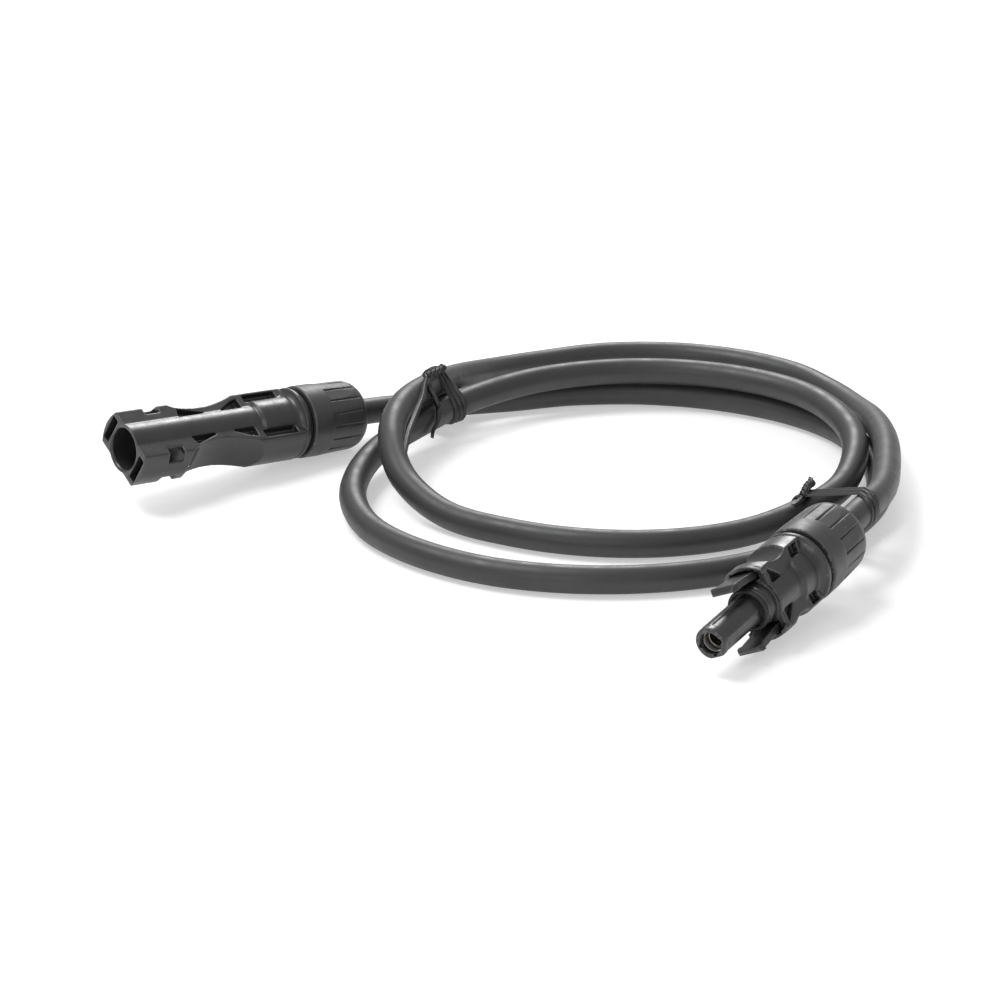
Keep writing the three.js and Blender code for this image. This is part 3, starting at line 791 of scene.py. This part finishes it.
right_wraps = tie_wraps("tie_right_wraps", TIE_RIGHT_AT, TIE_RIGHT_HEADING)
left_ends = tie_ends("tie_left_ends", LEFT_KNOT, 2.5, LEFT_TAILS, TO_CAMERA)
right_ends = tie_ends("tie_right_ends", RIGHT_KNOT, 2.5, RIGHT_TAILS, TO_CAMERA)
ties = [
    settled(left_wraps, IN_PLACE, "root", "tie", ["tie_left_band"]),
    settled(right_wraps, IN_PLACE, "root", "tie", ["tie_right_band"]),
    settled(left_ends, IN_PLACE, "root", "tie", ["tie_left_twist"]),
    settled(right_ends, IN_PLACE, "root", "tie", ["tie_right_twist"]),
]

# ---- Couplers -------------------------------------------------------------------------------------
settled(pin_housing(), PIN_PLACE, "root", "housing", ["pin_housing"])
settled(pin_contact(), PIN_PLACE, "root", "contact", ["pin_contact"], 40)
settled(conductor("pin_conductor_strands"), PIN_PLACE, "root", "conductor", ["pin_conductor"], 40)
settled(gland_seal("pin_seal_sleeve"), PIN_PLACE, "root", "seal", ["pin_seal"], 40)
settled(collet("pin_collet_fingers"), PIN_PLACE, "pin_clamp", "housing", ["pin_collet"])
settled(sealing_ring("pin_sealing_ring_bead"), PIN_PLACE, "root", "seal", ["pin_sealing_ring"])
settled(cap_nut("pin_cap_nut_moulding"), PIN_PLACE, "pin_nut", "cap_nut", ["pin_cap_nut"])

settled(socket_housing(), SOCKET_PLACE, "root", "housing", ["socket_housing"])
settled(latch_arm("latch_arm_upper_moulding", 1), SOCKET_PLACE, "upper_latch", "housing", ["latch_arm_upper"])
settled(latch_arm("latch_arm_lower_moulding", -1), SOCKET_PLACE, "lower_latch", "housing", ["latch_arm_lower"])
settled(socket_contact(), SOCKET_PLACE, "root", "contact", ["socket_contact"], 40)
settled(contact_band(), SOCKET_PLACE, "root", "spring", ["contact_band"], 40)
settled(conductor("socket_conductor_strands"), SOCKET_PLACE, "root", "conductor", ["socket_conductor"], 40)
settled(nose_o_ring(), SOCKET_PLACE, "root", "seal", ["nose_o_ring"])
settled(gland_seal("socket_seal_sleeve"), SOCKET_PLACE, "root", "seal", ["socket_seal"], 40)
settled(collet("socket_collet_fingers"), SOCKET_PLACE, "socket_clamp", "housing", ["socket_collet"])
settled(sealing_ring("socket_sealing_ring_bead"), SOCKET_PLACE, "root", "seal", ["socket_sealing_ring"])
settled(cap_nut("socket_cap_nut_moulding"), SOCKET_PLACE, "socket_nut", "cap_nut", ["socket_cap_nut"])


# ---- Stage ----------------------------------------------------------------------------------------
def area_light(name, place, aim, size, power):
    data = bpy.data.lights.new(name, "AREA")
    data.shape = "DISK"
    data.size = size
    data.energy = power
    light = bpy.data.objects.new(name, data)
    bpy.context.scene.collection.objects.link(light)
    light.location = place
    light.rotation_euler = (Vector(aim) - Vector(place)).to_track_quat("-Z", "Y").to_euler()


def stage():
    floor = mesh_object("floor", [(-6, -6, 0), (6, -6, 0), (6, 6, 0), (-6, 6, 0)], [[0, 1, 2, 3]])
    material, _, _, shader = new_material("floor_paper")
    shader.inputs["Base Color"].default_value = (0.68, 0.68, 0.68, 1)
    shader.inputs["Emission Color"].default_value = (1, 1, 1, 1)
    shader.inputs["Emission Strength"].default_value = 0.42
    shader.inputs["Roughness"].default_value = 0.9
    shader.inputs["Specular IOR Level"].default_value = 0.1
    floor.data.materials.append(material)
    world = bpy.data.worlds.new("studio")
    world.use_nodes = True
    sky = world.node_tree.nodes["Background"]
    sky.inputs["Color"].default_value = (1, 1, 1, 1)
    sky.inputs["Strength"].default_value = 0.55
    bpy.context.scene.world = world
    area_light("key", (-0.5, 0.35, 1.3), (0, 0, 0), 0.7, 12)
    area_light("back", (0.7, 1.1, 0.9), (0, 0, 0), 0.6, 10)
    area_light("front", (-1.1, -0.9, 0.7), (0, 0, 0), 0.7, 3)
    bpy.context.scene.view_settings.view_transform = "Standard"


stage()
